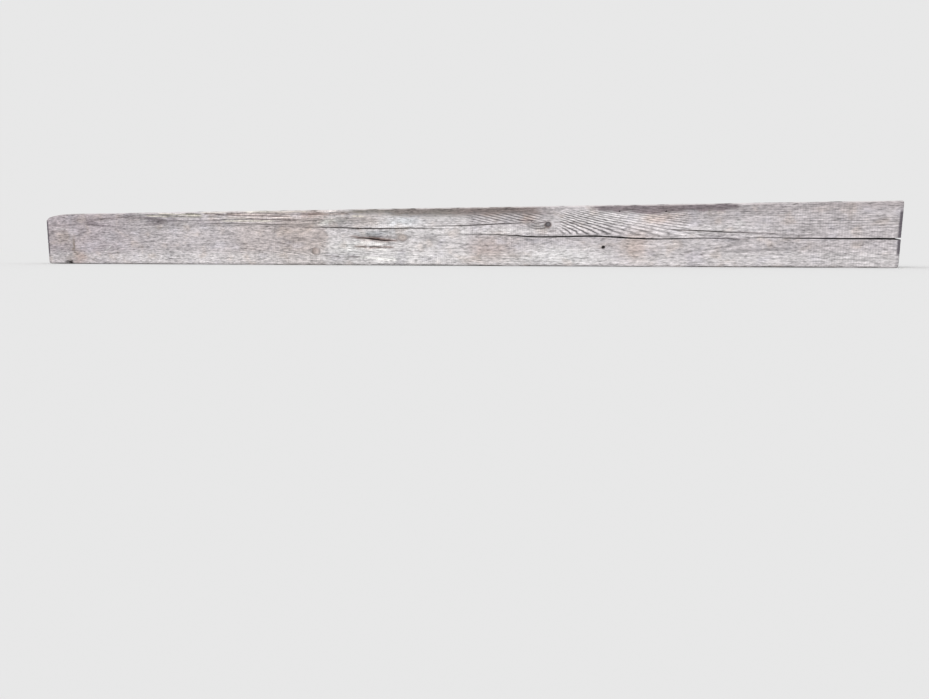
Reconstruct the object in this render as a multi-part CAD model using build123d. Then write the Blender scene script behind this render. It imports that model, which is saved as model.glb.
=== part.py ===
from build123d import *
from dataclasses import dataclass
from math import asin, cos, exp, pi, radians, sin
import os

# A used railway sleeper: one sawn softwood timber, weathered and checked.
# Millimetres, +X along the timber, +Z up, origin at the middle of the bottom face.
# The side that is described most closely faces -Y.

# Sawn size
timber_length = 2750.0
timber_width = 250.0
timber_height = 180.0
end_edge_wear = 5.0

# Long corners: each is worn round, and carries wane where the log was too thin
corner_wear = 17.0          # radius of the worn corner, before the flats cut it
log_allowance = 3.0         # how far the log's own outline stands outside the flats
broken_corner = 3.0         # extra radius of the corner that is broken off at the left end
broken_corner_run = 90.0    # how quickly that break dies out along the timber
front_wane = 13.0           # extra radius of the wane behind the break
front_wane_run = 420.0
back_wane = 27.0            # extra radius of the bark edge along the hidden top corner
back_wane_place = 330.0     # where it is widest, from the middle
back_wane_run = 640.0
foot_wane = 10.0            # extra radius of the lower back corner, near the left end
foot_wane_place = -700.0
foot_wane_run = 380.0
log_stations = 13           # sections that the log is lofted through

# Rounded shoulder of the left end, where its top edge is weathered away
shoulder_run = 92.0         # how far in from the end it starts
shoulder_drop_front = 13.0
shoulder_drop_back = 9.0

# Rail seats: the print of the base plates and their screw holes
seat_spacing = 1595.0       # between rail centres: 1520 mm gauge and one rail head
seat_length = 370.0
seat_width = 166.0
seat_depth = 4.0
seat_corner = 9.0
screw_spacing_along = 290.0
screw_spacing_across = 100.0
screw_hole_diameter = 20.0
screw_hole_depth = 150.0

# Pith of the log, where the checks of the ends start: it lies higher at the left end
pith_offset = 9.0
pith_heights = {-1: 106.0, +1: 84.0}

# Radial checks of the ends
end_check_count = 6
end_check_reach = 0.66      # the share of the way from the pith to the outline
end_check_unevenness = 0.14     # how much more or less of that way they take
end_check_scatter = 14.0    # degrees by which they stand off an even star
end_check_turn_step = 2.3   # radians from one check's scatter to the next
end_check_reach_step = 1.7  # radians from one check's reach to the next
end_check_start = 5.0
end_check_mouth = 3.6
end_check_sway = 1.0
end_check_depth = 130.0
end_check_run_in = 0.25

# What all checks share
crack_tip = 0.8             # width at which a crack fades out, at its two ends
crack_root = 0.2            # the share of the mouth that is left at a crack's bottom
crack_points = 7
face_clearance = 1.0        # how far every cutter stands out of the face it starts from

# Knot and holes of the front face, each from the middle and above the bottom
knot_diameter = 17.0
knot_sink = 2.5
knot_place = (436.0, 125.0)
dowel_hole_diameter = 11.0
dowel_hole_depth = 16.0
dowel_hole_place = (599.0, 56.0)
nail_hole_diameter = 5.0
nail_hole_depth = 28.0
nail_hole_places = ((642.0, 161.0), (772.0, 159.0))

# Chip of the lower front edge, near the left end
chip_length = 42.0
chip_bite = 9.0
chip_place = 86.0           # from the left end


@dataclass
class Crack:
    """A drying crack that opens on one face and narrows inwards, towards the pith.

    It runs from start to end, measured from the middle of the timber, and sways
    with the grain to each side of the straight line between its two offsets.
    """
    start: float
    end: float
    start_offset: float
    end_offset: float
    mouth: float
    depth: float
    sway: float = 0.0
    swings: float = 1.0
    run_in: float = 0.06      # the share of its length that it loses at each end, inside


# Offsets on the front and the back are heights above the bottom
front_cracks = [
    Crack(start=-361, end=121, start_offset=122, end_offset=114, mouth=4.2, depth=34, sway=1.4, swings=1.5),
    Crack(start=80, end=426, start_offset=124, end_offset=129, mouth=3.4, depth=26, sway=-1.8, swings=1.0),
    Crack(start=175, end=972, start_offset=96, end_offset=77, mouth=4.6, depth=46, sway=2.6, swings=2.5),
    Crack(start=764, end=1050, start_offset=108, end_offset=93, mouth=2.6, depth=18, sway=0.8, swings=1.0),
    Crack(start=-708, end=-376, start_offset=138, end_offset=133, mouth=2.0, depth=12, sway=0.9, swings=1.0),
    Crack(start=-187, end=-44, start_offset=87, end_offset=78, mouth=5.0, depth=15, sway=1.8, swings=1.0),
    Crack(start=-171, end=-58, start_offset=60, end_offset=56, mouth=3.4, depth=11, sway=-1.2, swings=1.5),
]

# Offsets on the top are measured from its middle line
top_cracks = [
    Crack(start=-560, end=40, start_offset=14, end_offset=24, mouth=6.5, depth=52, sway=3.5, swings=1.5),
    Crack(start=-30, end=545, start_offset=-6, end_offset=-17, mouth=5.0, depth=44, sway=-3.0, swings=2.0),
    Crack(start=-330, end=290, start_offset=-58, end_offset=-66, mouth=3.0, depth=20, sway=2.5, swings=1.5),
]

back_cracks = [
    Crack(start=-1010, end=-180, start_offset=104, end_offset=88, mouth=4.6, depth=38, sway=2.8, swings=2.0),
    Crack(start=-60, end=905, start_offset=72, end_offset=96, mouth=5.2, depth=42, sway=-3.2, swings=2.5),
]

# A crack that opens at an end is widest there: it starts this far in, from the end
front_end_crack = Crack(start=389, end=0, start_offset=84, end_offset=78, mouth=5.0, depth=44, sway=-1.4)
top_end_cracks = {
    -1: Crack(start=300, end=0, start_offset=21, end_offset=pith_offset, mouth=6.0, depth=62, sway=2.0),
    +1: Crack(start=345, end=0, start_offset=-4, end_offset=pith_offset, mouth=7.0, depth=70, sway=-2.5),
}

half_length = timber_length / 2
half_width = timber_width / 2

# One plane for each face that is cut: its x runs along the timber, its z points outwards
front_face = Plane((0, -half_width, 0), x_dir=(1, 0, 0), z_dir=(0, -1, 0))
back_face = Plane((0, half_width, 0), x_dir=(-1, 0, 0), z_dir=(0, 1, 0))
top_face = Plane((0, 0, timber_height), x_dir=(1, 0, 0), z_dir=(0, 0, 1))


def swell(position, place, run):
    """A smooth hump of height 1 at a place along the timber, gone after about two runs."""
    return exp(-((position - place) / run) ** 2)


def corner_radii(position):
    """Radius of the log's outline at its four corners, from the lower front one on."""
    front_top = (corner_wear
                 + broken_corner * swell(position, -half_length, broken_corner_run)
                 + front_wane * swell(position, -half_length, front_wane_run))
    back_top = corner_wear + back_wane * swell(position, back_wane_place, back_wane_run)
    back_foot = corner_wear + foot_wane * swell(position, foot_wane_place, foot_wane_run)
    return corner_wear, back_foot, back_top, front_top


def log_section(position):
    """Outline of the log at one place: a rectangle just outside the flats, its corners round."""
    side = half_width + log_allowance
    outline = FilletPolyline(
        (-side, -log_allowance),
        (side, -log_allowance),
        (side, timber_height + log_allowance),
        (-side, timber_height + log_allowance),
        radius=corner_radii(position),
        close=True,
    )
    across = Plane((position, 0, 0), x_dir=(0, 1, 0), z_dir=(1, 0, 0))
    return across * make_face(outline)


def log():
    """The log with its wane, lofted through sections that lie closer near the ends."""
    reach = half_length + log_allowance
    places = [-reach * cos(pi * i / (log_stations - 1)) for i in range(log_stations)]
    return loft([log_section(place) for place in places])


def sawn_block():
    """The four sawn sides and two cut ends, with the edges of the ends worn round."""
    block = Pos(0, 0, timber_height / 2) * Box(timber_length, timber_width, timber_height)
    ends = block.faces().filter_by(Axis.X)
    return fillet(ends.edges(), end_edge_wear)


def shoulder_profile(drop):
    """What the weather took off the end's top edge: the space above an arc that leaves the top level."""
    radius = (shoulder_run ** 2 + drop ** 2) / (2 * drop)
    turn = asin(shoulder_run / radius)
    inner = Vector(-half_length + shoulder_run, timber_height)
    middle = inner - Vector(radius * sin(turn / 2), radius * (1 - cos(turn / 2)))
    outer = inner - Vector(shoulder_run, drop)
    above = Vector(0, face_clearance)
    outside = Vector(-face_clearance, 0)
    edge = [ThreePointArc(inner, middle, outer),
            Polyline(outer, outer + outside, outer + outside + Vector(0, drop) + above, inner + above, inner)]
    return make_face(edge)


def shoulder_cutter():
    """The shoulder's waste, lofted from its deeper front profile to its shallower back one."""
    reach = half_width + face_clearance
    front = Plane((0, -reach, 0), x_dir=(1, 0, 0), z_dir=(0, -1, 0))
    back = Plane((0, reach, 0), x_dir=(1, 0, 0), z_dir=(0, -1, 0))
    return loft([front * shoulder_profile(shoulder_drop_front), back * shoulder_profile(shoulder_drop_back)])


def crack_outline(crack, share, inset):
    """A blunt spindle along the crack: its middle line sways, its width swells from the tips as a sine."""
    length = crack.end - crack.start
    first = crack.start + inset * length
    last = crack.end - inset * length
    upper = []
    lower = []
    for i in range(crack_points):
        along = i / (crack_points - 1)
        x = first + along * (last - first)
        t = (x - crack.start) / length
        middle = crack.start_offset + t * (crack.end_offset - crack.start_offset)
        middle += crack.sway * sin(2 * pi * crack.swings * t)
        half = 0.5 * (crack_tip + (crack.mouth - crack_tip) * share * sin(pi * along))
        upper.append((x, middle + half))
        lower.append((x, middle - half))
    tips = [Line(upper[0], lower[0]), Line(upper[-1], lower[-1])]
    return make_face([Spline(upper), Spline(lower), *tips])


def crack_cutter(plane, crack):
    """The wedge of a crack: its mouth stands clear of the face, its root lies at the depth."""
    mouth = plane.offset(face_clearance) * crack_outline(crack, 1.0, 0.0)
    root = plane.offset(-crack.depth) * crack_outline(crack, crack_root, crack.run_in)
    return loft([mouth, root])


def open_end_crack(crack, end):
    """The same crack carried past the end by its own length, so that it is widest at the end."""
    inner = end * (half_length - crack.start)
    outer = end * (half_length + crack.start)
    drift = crack.end_offset - crack.start_offset
    return Crack(inner, outer, crack.start_offset, crack.start_offset + 2 * drift,
                 crack.mouth, crack.depth, crack.sway, crack.swings)


def mirrored(crack):
    """The crack as the back face's plane sees it, with its x turned round."""
    return Crack(-crack.start, -crack.end, crack.start_offset, crack.end_offset,
                 crack.mouth, crack.depth, crack.sway, crack.swings)


def way_out(towards, pith_height):
    """How far it is from the pith to the timber's outline in one direction of the section."""
    side = half_width - pith_offset if towards.Y > 0 else half_width + pith_offset
    level = timber_height - pith_height if towards.Z > 0 else pith_height
    return 1 / max(abs(towards.Y) / side, abs(towards.Z) / level)


def end_check_cutters(end):
    """The star of checks round the pith, wide at the end face and closing up inside.

    One check points straight up, to meet the crack of the top face. The others
    stand unevenly round the pith, and differ in length, but none reaches a side.
    """
    pith = (end * half_length, pith_offset, pith_heights[end])
    cutters = []
    for i in range(end_check_count):
        turn = 90 + end * (360 * i / end_check_count + end_check_scatter * sin(end_check_turn_step * i))
        share = end_check_reach + end_check_unevenness * cos(end_check_reach_step * i + end)
        towards = Vector(0, cos(radians(turn)), sin(radians(turn)))
        reach = share * way_out(towards, pith_heights[end])
        check = Crack(end_check_start, reach, 0, 0, end_check_mouth, end_check_depth,
                      end_check_sway, run_in=end_check_run_in)
        cutters.append(crack_cutter(Plane(pith, x_dir=towards, z_dir=(end, 0, 0)), check))
    return cutters


def seat_cutters(side):
    """The plate's shallow print in the top, and the four screw holes in its floor."""
    seat_floor = top_face.offset(-seat_depth) * Pos(side * seat_spacing / 2, 0)
    plate_print = extrude(RectangleRounded(seat_length, seat_width, seat_corner),
                          seat_depth + face_clearance)
    hole = Cylinder(screw_hole_diameter / 2, screw_hole_depth + seat_depth,
                    align=(Align.CENTER, Align.CENTER, Align.MAX))
    holes = [place * Pos(0, 0, seat_depth) * hole
             for place in GridLocations(screw_spacing_along, screw_spacing_across, 2, 2)]
    return [seat_floor * cutter for cutter in [plate_print, *holes]]


def front_hole(place, diameter, depth):
    """A round hole of the front face, square to it."""
    hole = Cylinder(diameter / 2, depth + face_clearance,
                    align=(Align.CENTER, Align.CENTER, Align.MAX))
    return front_face * Pos(*place, face_clearance) * hole


def chip_cutter():
    """A scoop out of the lower front edge: a drum laid across it at 45 degrees."""
    radius = (chip_length ** 2 / 4 + chip_bite ** 2) / (2 * chip_bite)
    back_off = radius - chip_bite
    centre = Vector(-half_length + chip_place, -half_width, 0) - Vector(0, 1, 1).normalized() * back_off
    drum = Cylinder(radius, 4 * chip_length)
    return Plane(centre, x_dir=(1, 0, 0), z_dir=(0, 1, -1)) * drum


def sleeper():
    timber = log() & sawn_block()
    cutters = [crack_cutter(front_face, crack) for crack in front_cracks]
    cutters += [crack_cutter(top_face, crack) for crack in top_cracks]
    cutters += [crack_cutter(back_face, mirrored(crack)) for crack in back_cracks]
    cutters.append(crack_cutter(front_face, open_end_crack(front_end_crack, +1)))
    for end, crack in top_end_cracks.items():
        cutters.append(crack_cutter(top_face, open_end_crack(crack, end)))
        cutters += end_check_cutters(end)
        cutters += seat_cutters(end)
    cutters.append(front_hole(knot_place, knot_diameter, knot_sink))
    cutters.append(front_hole(dowel_hole_place, dowel_hole_diameter, dowel_hole_depth))
    for place in nail_hole_places:
        cutters.append(front_hole(place, nail_hole_diameter, nail_hole_depth))
    cutters += [shoulder_cutter(), chip_cutter()]
    return timber - cutters


os.makedirs("parts", exist_ok=True)
export_step(sleeper(), "parts/sleeper.step")
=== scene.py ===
# %% [markdown]
# # A weathered railway sleeper
# A sleeper is one sawn timber, so the whole visual model is one closed mesh with one material. The CAD
# model holds its true size, cracks, holes and rail seats. This lesson dresses it: a grid of points is
# wrapped round the timber, cracks and holes are laid into the grid, weather eats into it, and a wood
# material is worked out from the same growth rings as the relief. The frame comes first, because every
# size is read from it.

# %% Load the fixed frame
import inspect
import math
from dataclasses import dataclass

import bpy
import numpy as np
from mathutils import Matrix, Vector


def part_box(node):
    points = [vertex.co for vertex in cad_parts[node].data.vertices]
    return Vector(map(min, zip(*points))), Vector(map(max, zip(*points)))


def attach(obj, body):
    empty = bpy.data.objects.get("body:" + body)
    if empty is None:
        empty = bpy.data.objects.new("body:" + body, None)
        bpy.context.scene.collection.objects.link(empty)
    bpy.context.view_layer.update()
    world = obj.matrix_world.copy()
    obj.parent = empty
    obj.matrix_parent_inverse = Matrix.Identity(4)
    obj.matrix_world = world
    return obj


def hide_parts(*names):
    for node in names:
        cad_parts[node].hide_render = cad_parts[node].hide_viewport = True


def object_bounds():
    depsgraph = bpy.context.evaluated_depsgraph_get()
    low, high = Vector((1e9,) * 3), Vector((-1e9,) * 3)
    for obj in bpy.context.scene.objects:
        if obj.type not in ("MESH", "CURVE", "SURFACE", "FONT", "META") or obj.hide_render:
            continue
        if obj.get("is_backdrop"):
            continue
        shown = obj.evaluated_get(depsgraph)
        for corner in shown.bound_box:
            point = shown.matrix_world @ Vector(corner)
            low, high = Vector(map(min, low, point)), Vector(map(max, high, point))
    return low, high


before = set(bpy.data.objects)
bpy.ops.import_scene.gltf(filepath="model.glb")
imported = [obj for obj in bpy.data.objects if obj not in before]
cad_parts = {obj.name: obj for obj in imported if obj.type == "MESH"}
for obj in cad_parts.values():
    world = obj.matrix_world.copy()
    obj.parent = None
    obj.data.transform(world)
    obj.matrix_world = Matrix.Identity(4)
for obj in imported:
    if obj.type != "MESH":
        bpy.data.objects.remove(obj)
cad_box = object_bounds()
low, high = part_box("sleeper")
length, width, height = high - low
half_length = length / 2
half_width = width / 2
print("sleeper", round(length, 4), "by", round(width, 4), "by", round(height, 4), "m")

# %% [markdown]
# ## Smooth steps and seeded noise
# Weather is uneven, so nearly every step below needs a random height that changes smoothly. It could come
# from Blender's own textures, but a mesh worked out with numpy needs it as an array. Here it is a table of
# seeded random heights on a lattice, blended between the lattice's points, so each run gives the same.

# %% Steps, bells and noise
def smooth(t):
    """A step without corners: 3 t squared less 2 t cubed, with t held between 0 and 1."""
    t = np.clip(t, 0, 1)
    return t * t * (3 - 2 * t)


def hump(place, centre, reach):
    """A bell of height 1: e to the minus square of the distance over the reach."""
    return np.exp(-((place - centre) / reach) ** 2)


def noise(u, v, seed):
    """Heights from -1 to 1 on a unit lattice, blended by a smooth step in u and then in v."""
    size = 256
    heights = np.random.default_rng(seed).uniform(-1, 1, (size, size))
    cell_u = np.floor(u).astype(int)
    cell_v = np.floor(v).astype(int)
    mix_u = smooth(u - cell_u)
    mix_v = smooth(v - cell_v)
    low_row = heights[cell_u % size, cell_v % size] * (1 - mix_u)
    low_row = low_row + heights[(cell_u + 1) % size, cell_v % size] * mix_u
    high_row = heights[cell_u % size, (cell_v + 1) % size] * (1 - mix_u)
    high_row = high_row + heights[(cell_u + 1) % size, (cell_v + 1) % size] * mix_u
    return low_row * (1 - mix_v) + high_row * mix_v


print("noise at one place", round(float(noise(np.array(0.4), np.array(0.7), 1)), 3))

# %% [markdown]
# ## Cracks
# A timber that dries shrinks more round its rings than across them, so it splits along the grain. Its
# cracks lie where they lie in the CAD model. Everything is in metres, from the middle of the timber.
# Offsets on the front and the back are heights above the bottom, and offsets on the top are measured
# across, from its middle line. A crack that crosses a grid of points at a slant gets jagged lips, so the
# cracks are strung on lanes: stripes of the grid that lead from one crack to the next.

# %% Cracks and the lanes that they lie on
@dataclass
class Crack:
    """From start to end along the timber, at an offset that goes from first to last and sways."""
    start: float
    end: float
    first: float
    last: float
    mouth: float
    depth: float
    sway: float = 0.0
    swings: float = 1.0


@dataclass
class Lane:
    """The column of the grid that its middle takes, its way as places and offsets, and its cracks."""
    column: int
    way: list
    cracks: list


crack_tip = 0.0008
front_lanes = [
    Lane(30, [(-1.375, 0.060), (-0.35, 0.060), (0.10, 0.056), (1.375, 0.045)],
         [Crack(-0.171, -0.058, 0.060, 0.056, 0.0034, 0.011, -0.0012, 1.5)]),
    Lane(45, [(-1.375, 0.089), (-0.40, 0.089), (0.05, 0.089)],
         [Crack(-0.187, -0.044, 0.087, 0.078, 0.0050, 0.015, 0.0018, 1.0),
          Crack(0.175, 0.972, 0.096, 0.077, 0.0046, 0.046, 0.0026, 2.5),
          Crack(0.986, 1.764, 0.084, 0.072, 0.0050, 0.044, -0.0014, 1.0)]),
    Lane(60, [(-1.375, 0.119), (-0.55, 0.119), (0.42, 0.108), (0.80, 0.096), (1.375, 0.088)],
         [Crack(-0.361, 0.121, 0.122, 0.114, 0.0042, 0.034, 0.0014, 1.5)]),
    Lane(67, [(-1.375, 0.138), (-0.90, 0.138), (-0.20, 0.131), (1.20, 0.093), (1.375, 0.096)],
         [Crack(-0.708, -0.376, 0.138, 0.133, 0.0020, 0.012, 0.0009, 1.0),
          Crack(0.080, 0.422, 0.124, 0.129, 0.0034, 0.026, -0.0018, 1.0),
          Crack(0.764, 1.050, 0.108, 0.093, 0.0026, 0.018, 0.0008, 1.0)]),
]
top_lanes = [
    Lane(21, [(-1.375, -0.062), (-0.45, -0.062), (0.45, -0.062), (1.375, -0.062)],
         [Crack(-0.330, 0.290, -0.058, -0.066, 0.0030, 0.020, 0.0025, 1.5)]),
    Lane(36, [(-1.375, -0.012), (-0.3, -0.008), (0.8, -0.010)],
         [Crack(-0.030, 0.545, -0.006, -0.017, 0.0050, 0.044, -0.0030, 2.0),
          Crack(1.030, 1.720, -0.004, 0.022, 0.0070, 0.066, -0.0025, 1.0)]),
    Lane(43, [(-0.8, 0.015), (0.3, 0.016), (1.375, 0.026)],
         [Crack(-1.675, -1.075, -0.003, 0.021, 0.0060, 0.044, 0.0020, 1.0),
          Crack(-0.560, 0.040, 0.014, 0.024, 0.0065, 0.052, 0.0035, 1.5)]),
]
back_lanes = [
    Lane(22, [(-1.375, 0.090), (1.375, 0.090)],
         [Crack(-1.010, -0.180, 0.104, 0.088, 0.0046, 0.038, 0.0028, 2.0),
          Crack(-0.060, 0.905, 0.072, 0.096, 0.0052, 0.042, -0.0032, 2.5)]),
]
print("cracks", sum(len(lane.cracks) for lane in front_lanes + top_lanes + back_lanes))

# %% [markdown]
# ## Holes and rail seats
# The base plates of the rails have pressed their print into the top, and four screws held each of them.
# The front has a sunken knot, the hole of an old dowel, and two nail holes near the top edge. All of them
# are round and blind, so one kind of record holds them.

# %% Holes and rail seats
@dataclass
class Hole:
    """A place along the timber, an offset on its face, a radius and a depth."""
    along: float
    offset: float
    radius: float
    depth: float


both_sides = (-1, 1)
sunken_knot = Hole(0.436, 0.125, 0.0085, 0.0025)
dowel_hole = Hole(0.599, 0.056, 0.0055, 0.016)
nail_holes = [Hole(0.642, 0.161, 0.0025, 0.028), Hole(0.772, 0.159, 0.0025, 0.028)]
front_holes = [sunken_knot, dowel_hole, *nail_holes]
seat_places = (-0.7975, 0.7975)
seat_length, seat_width, seat_depth, seat_corner = 0.370, 0.166, 0.004, 0.009
screw_along, screw_across, screw_radius, screw_depth = 0.145, 0.050, 0.010, 0.154
screw_holes = [Hole(seat + side * screw_along, row * screw_across, screw_radius, screw_depth)
               for seat in seat_places for side in both_sides for row in both_sides]
print("holes", len(front_holes), "in the front and", len(screw_holes), "in the top")

# %% [markdown]
# ## Worn places
# Handling has rounded every corner, and where the log was too thin for the saw the corner is rounder
# still, which a sawyer calls wane. The left end has lost its top edge, a chip is gone from the lower front
# edge, and the wood is torn at two places left of the middle. The pith, the log's soft core, runs inside
# the timber.

# %% Corners, chip, shoulder and pith
corner_radius = 0.017
log_allowance = 0.003
end_wear = 0.005
chip_place, chip_length, chip_bite = -1.289, 0.042, 0.009
shoulder_run, shoulder_front, shoulder_back = 0.092, 0.013, 0.009
torn_place = (-0.115, 0.070)
pith_across = 0.009
pith_heights = (0.106, 0.084)


def corner_radii(x):
    """Radius of each worn corner at x: a small constant, and humps where the log was too thin."""
    plain = corner_radius + 0 * x
    front_top = plain + 0.003 * hump(x, -half_length, 0.090) + 0.013 * hump(x, -half_length, 0.420)
    back_top = plain + 0.027 * hump(x, 0.330, 0.640)
    back_foot = plain + 0.010 * hump(x, -0.700, 0.380)
    return plain, front_top, back_top, back_foot


print("corner radii in the middle", [round(float(radius), 4) for radius in corner_radii(0.0)])

# %% [markdown]
# ## A grid round the timber
# The mesh could be the CAD solid cut up by a remesh, but that spends triangles evenly and loses the sharp
# lips of the cracks. Here it is a grid instead: stations along the timber and columns round its outline.
# Both stand closer where something small is to be shown, and far apart where there is only plain wood,
# because grain changes fast across a timber and slowly along it.

# %% Stations and columns
def spread(count, start, end, crowds):
    """Places from start to end, so that equal steps of their running density lie between them.

    The density is 1, and rises near each crowd, given as its place, its reach and its density."""
    fine = np.linspace(start, end, 6001)
    density = np.ones_like(fine)
    for place, reach, dense in crowds:
        nearness = smooth(2 - np.abs(fine - place) / reach)
        density = np.maximum(density, 1 + (dense - 1) * nearness)
    running = np.concatenate([[0], np.cumsum((density[1:] + density[:-1]) / 2)])
    return np.interp(np.linspace(0, running[-1], count + 1), running, fine)


hole_reach = 0.016
along_crowds = [(seat + side * screw_along, hole_reach, 5) for seat in seat_places for side in both_sides]
along_crowds += [(seat + side * seat_length / 2, 0.005, 4) for seat in seat_places for side in both_sides]
along_crowds += [(hole.along, hole_reach, 5) for hole in front_holes]
along_crowds += [(side * half_length, 0.005, 11) for side in both_sides]
along_crowds += [(-half_length, 0.060, 2), (chip_place, 0.022, 3.5), (torn_place[0], 0.060, 2.2)]
stations = spread(372, -half_length, half_length, along_crowds)

foot_columns = spread(8, 0, half_width, [(half_width, 0.010, 5)])
front_columns = np.linspace(0, height, 91)
top_columns = spread(80, -half_width, half_width,
                     [(side * screw_across, 0.014, 1.8) for side in both_sides]
                     + [(side * half_width, 0.010, 2) for side in both_sides])
back_columns = spread(44, 0, height, [(0, 0.010, 2), (height, 0.010, 2)])
print("stations", len(stations), "closest", round(float(np.diff(stations).min()) * 1000, 2), "mm")

# %% [markdown]
# ## Cracks in the grid
# A boolean cut would leave thin slivers along a crack's lips. Here each lane has four columns of its own
# instead: lip, root, root, lip. The lane follows the crack's swaying line, the lips stand apart by the
# mouth, the two roots sink in, and every other column of the face is shared out evenly between the lanes.

# %% The line of a lane
lane_shares = (-1, -0.3, 0.3, 1)


def lane_line(lane, rest_half):
    """Middle, half mouth and depth of a lane at each station.

    On a crack the middle runs straight from its first to its last offset, plus sway times the sine of
    its swings. The half mouth and the depth rise from the tips as a sine and its root."""
    t = np.linspace(0, 1, 61)
    places = [np.array([x for x, _ in lane.way])]
    middles = [np.array([offset for _, offset in lane.way])]
    halves = [np.full(len(lane.way), rest_half)]
    depths = [np.zeros(len(lane.way))]
    for crack in lane.cracks:
        places.append(crack.start + t * (crack.end - crack.start))
        middles.append(crack.first + t * (crack.last - crack.first)
                       + crack.sway * np.sin(2 * np.pi * crack.swings * t))
        halves.append((crack_tip + (crack.mouth - crack_tip) * np.sin(np.pi * t)) / 2)
        depths.append(crack.depth * np.sqrt(np.sin(np.pi * t)))
    order = np.argsort(np.concatenate(places), kind="stable")
    in_order = np.concatenate(places)[order]
    return [np.interp(stations, in_order, np.concatenate(values)[order])
            for values in (middles, halves, depths)]


print("longest crack is", round(float(lane_line(front_lanes[1], 0.003)[2].max()) * 1000, 1), "mm deep")

# %% [markdown]
# A face is then laid out at every station: its two edges and the lanes are set, and the columns between
# them are spaced out evenly. Working with shares of the way from one set column to the next does all
# stations at once, as one product of two arrays.

# %% Lay the lanes into a face
def lay_face(columns, lanes, seed):
    """Place along the face and depth of every column at every station, as two arrays.

    The face's two edges and the four columns of each lane are set. A column between two set ones keeps
    its share of the way from one to the other."""
    rest_half = 1.5 * np.diff(columns).mean()
    fixed = [0]
    targets = [np.full(len(stations), columns[0])]
    sunk = np.zeros((len(stations), len(columns)))
    for index, lane in enumerate(lanes):
        middle, half, depth = lane_line(lane, rest_half)
        for k, share in enumerate(lane_shares):
            ragged = 1 + 0.3 * noise(stations / 0.024, np.full(len(stations), 9.3 * index + k), seed)
            column = lane.column - 2 + k
            fixed.append(column)
            targets.append(middle + share * half * ragged)
            sunk[:, column] = depth if abs(share) < 1 else 0
    fixed.append(len(columns) - 1)
    targets.append(np.full(len(stations), columns[-1]))
    shares = np.stack([np.interp(columns, columns[fixed], row) for row in np.eye(len(fixed))])
    return np.stack(targets, axis=1) @ shares, sunk


faces = {
    "foot_front": lay_face(foot_columns, [], 11),
    "front": lay_face(front_columns, front_lanes, 12),
    "top": lay_face(top_columns, top_lanes, 13),
    "back": lay_face(back_columns, back_lanes, 14),
    "foot_back": lay_face(foot_columns, [], 15),
}
for name, (places, sunk) in faces.items():
    print(name, places.shape, "deepest", round(float(sunk.max()) * 1000, 1), "mm")

# %% [markdown]
# ## Round holes in a square grid
# A hole could be cut with a boolean, but that leaves slivers beside it. Here the squares round the hole's
# middle are pulled into circles: the inner rings become the bottom, the next pair the wall, and the outer
# rings lead back to the square grid, so the hole is truly round and the mesh stays one closed sheet.

# %% Pull rings of the grid into circles
ring_numbers = [0, 1, 2, 3, 4, 5, 6]
ring_sizes = [0, 0.34, 0.66, 0.94, 1, 1.35, 1.8]
rim_ring = 4


def drill(x, places, sunk, hole):
    """The rings inside the rim become the bottom, and those outside it lead back to the grid.

    A point (a, b) of the square ring m goes to the circle by a/m times the root of 1 - (b/m)^2 / 2,
    and the same with a and b exchanged."""
    reach = ring_numbers[-1]
    i = int(np.argmin(np.abs(stations - hole.along)))
    j = int(np.argmin(np.abs(places[i] - hole.offset)))
    a, b = np.meshgrid(np.arange(-reach, reach + 1), np.arange(-reach, reach + 1), indexing="ij")
    ring = np.maximum(np.abs(a), np.abs(b))
    m = np.maximum(ring, 1)
    circle_x = a / m * np.sqrt(1 - (b / m) ** 2 / 2)
    circle_s = b / m * np.sqrt(1 - (a / m) ** 2 / 2)
    out = np.interp(ring, ring_numbers, ring_sizes) * hole.radius
    back = np.clip((ring - rim_ring) / 2, 0, 1)
    block = (slice(i - reach, i + reach + 1), slice(j - reach, j + reach + 1))
    x[block] = (1 - back) * (hole.along + out * circle_x) + back * x[block]
    places[block] = (1 - back) * (hole.offset + out * circle_s) + back * places[block]
    sunk[block] = np.where(ring < rim_ring, hole.depth, sunk[block] * (ring > rim_ring))


along_timber = {name: np.repeat(stations[:, None], places.shape[1], axis=1)
                for name, (places, sunk) in faces.items()}
for name, holes in (("front", front_holes), ("top", screw_holes)):
    for hole in holes:
        drill(along_timber[name], *faces[name], hole)
    print("drilled", len(holes), "holes into the", name)

# %% [markdown]
# ## Shader maths as Python
# On the real timber one thing decides both the colour and the relief: the growth rings, cut by the saw.
# Soft early wood weathers away between ridges of hard late wood, and it is paler too. A picture of grain
# could be laid on each face, but then the ends would not match the sides. Here the rings are a formula in
# space, written with plain operators, so the same function works on numpy arrays for the relief and on
# shader values for the colour. For that, shader maths gets a small class: it wraps a node's output, and
# each operator on it adds one Math node.

# %% A value class
class Value:
    """One output of a shader node. Arithmetic on it adds Math nodes to its graph."""

    def __init__(self, graph, socket):
        self.graph = graph
        self.socket = socket

    def math(self, operation, *others):
        """Any other operation of the Math node, with this value first."""
        return self.graph.math(operation, self, *others)

    def __add__(self, other):
        return self.graph.math("ADD", self, other)

    def __radd__(self, other):
        return self.graph.math("ADD", other, self)

    def __sub__(self, other):
        return self.graph.math("SUBTRACT", self, other)

    def __rsub__(self, other):
        return self.graph.math("SUBTRACT", other, self)

    def __mul__(self, other):
        return self.graph.math("MULTIPLY", self, other)

    def __rmul__(self, other):
        return self.graph.math("MULTIPLY", other, self)

    def __truediv__(self, other):
        return self.graph.math("DIVIDE", self, other)

    def __rtruediv__(self, other):
        return self.graph.math("DIVIDE", other, self)

    def __pow__(self, other):
        return self.graph.math("POWER", self, other)

    def __neg__(self):
        return self.graph.math("MULTIPLY", self, -1.0)


print("it knows", [name for name, part in vars(Value).items() if callable(part)])

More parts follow.
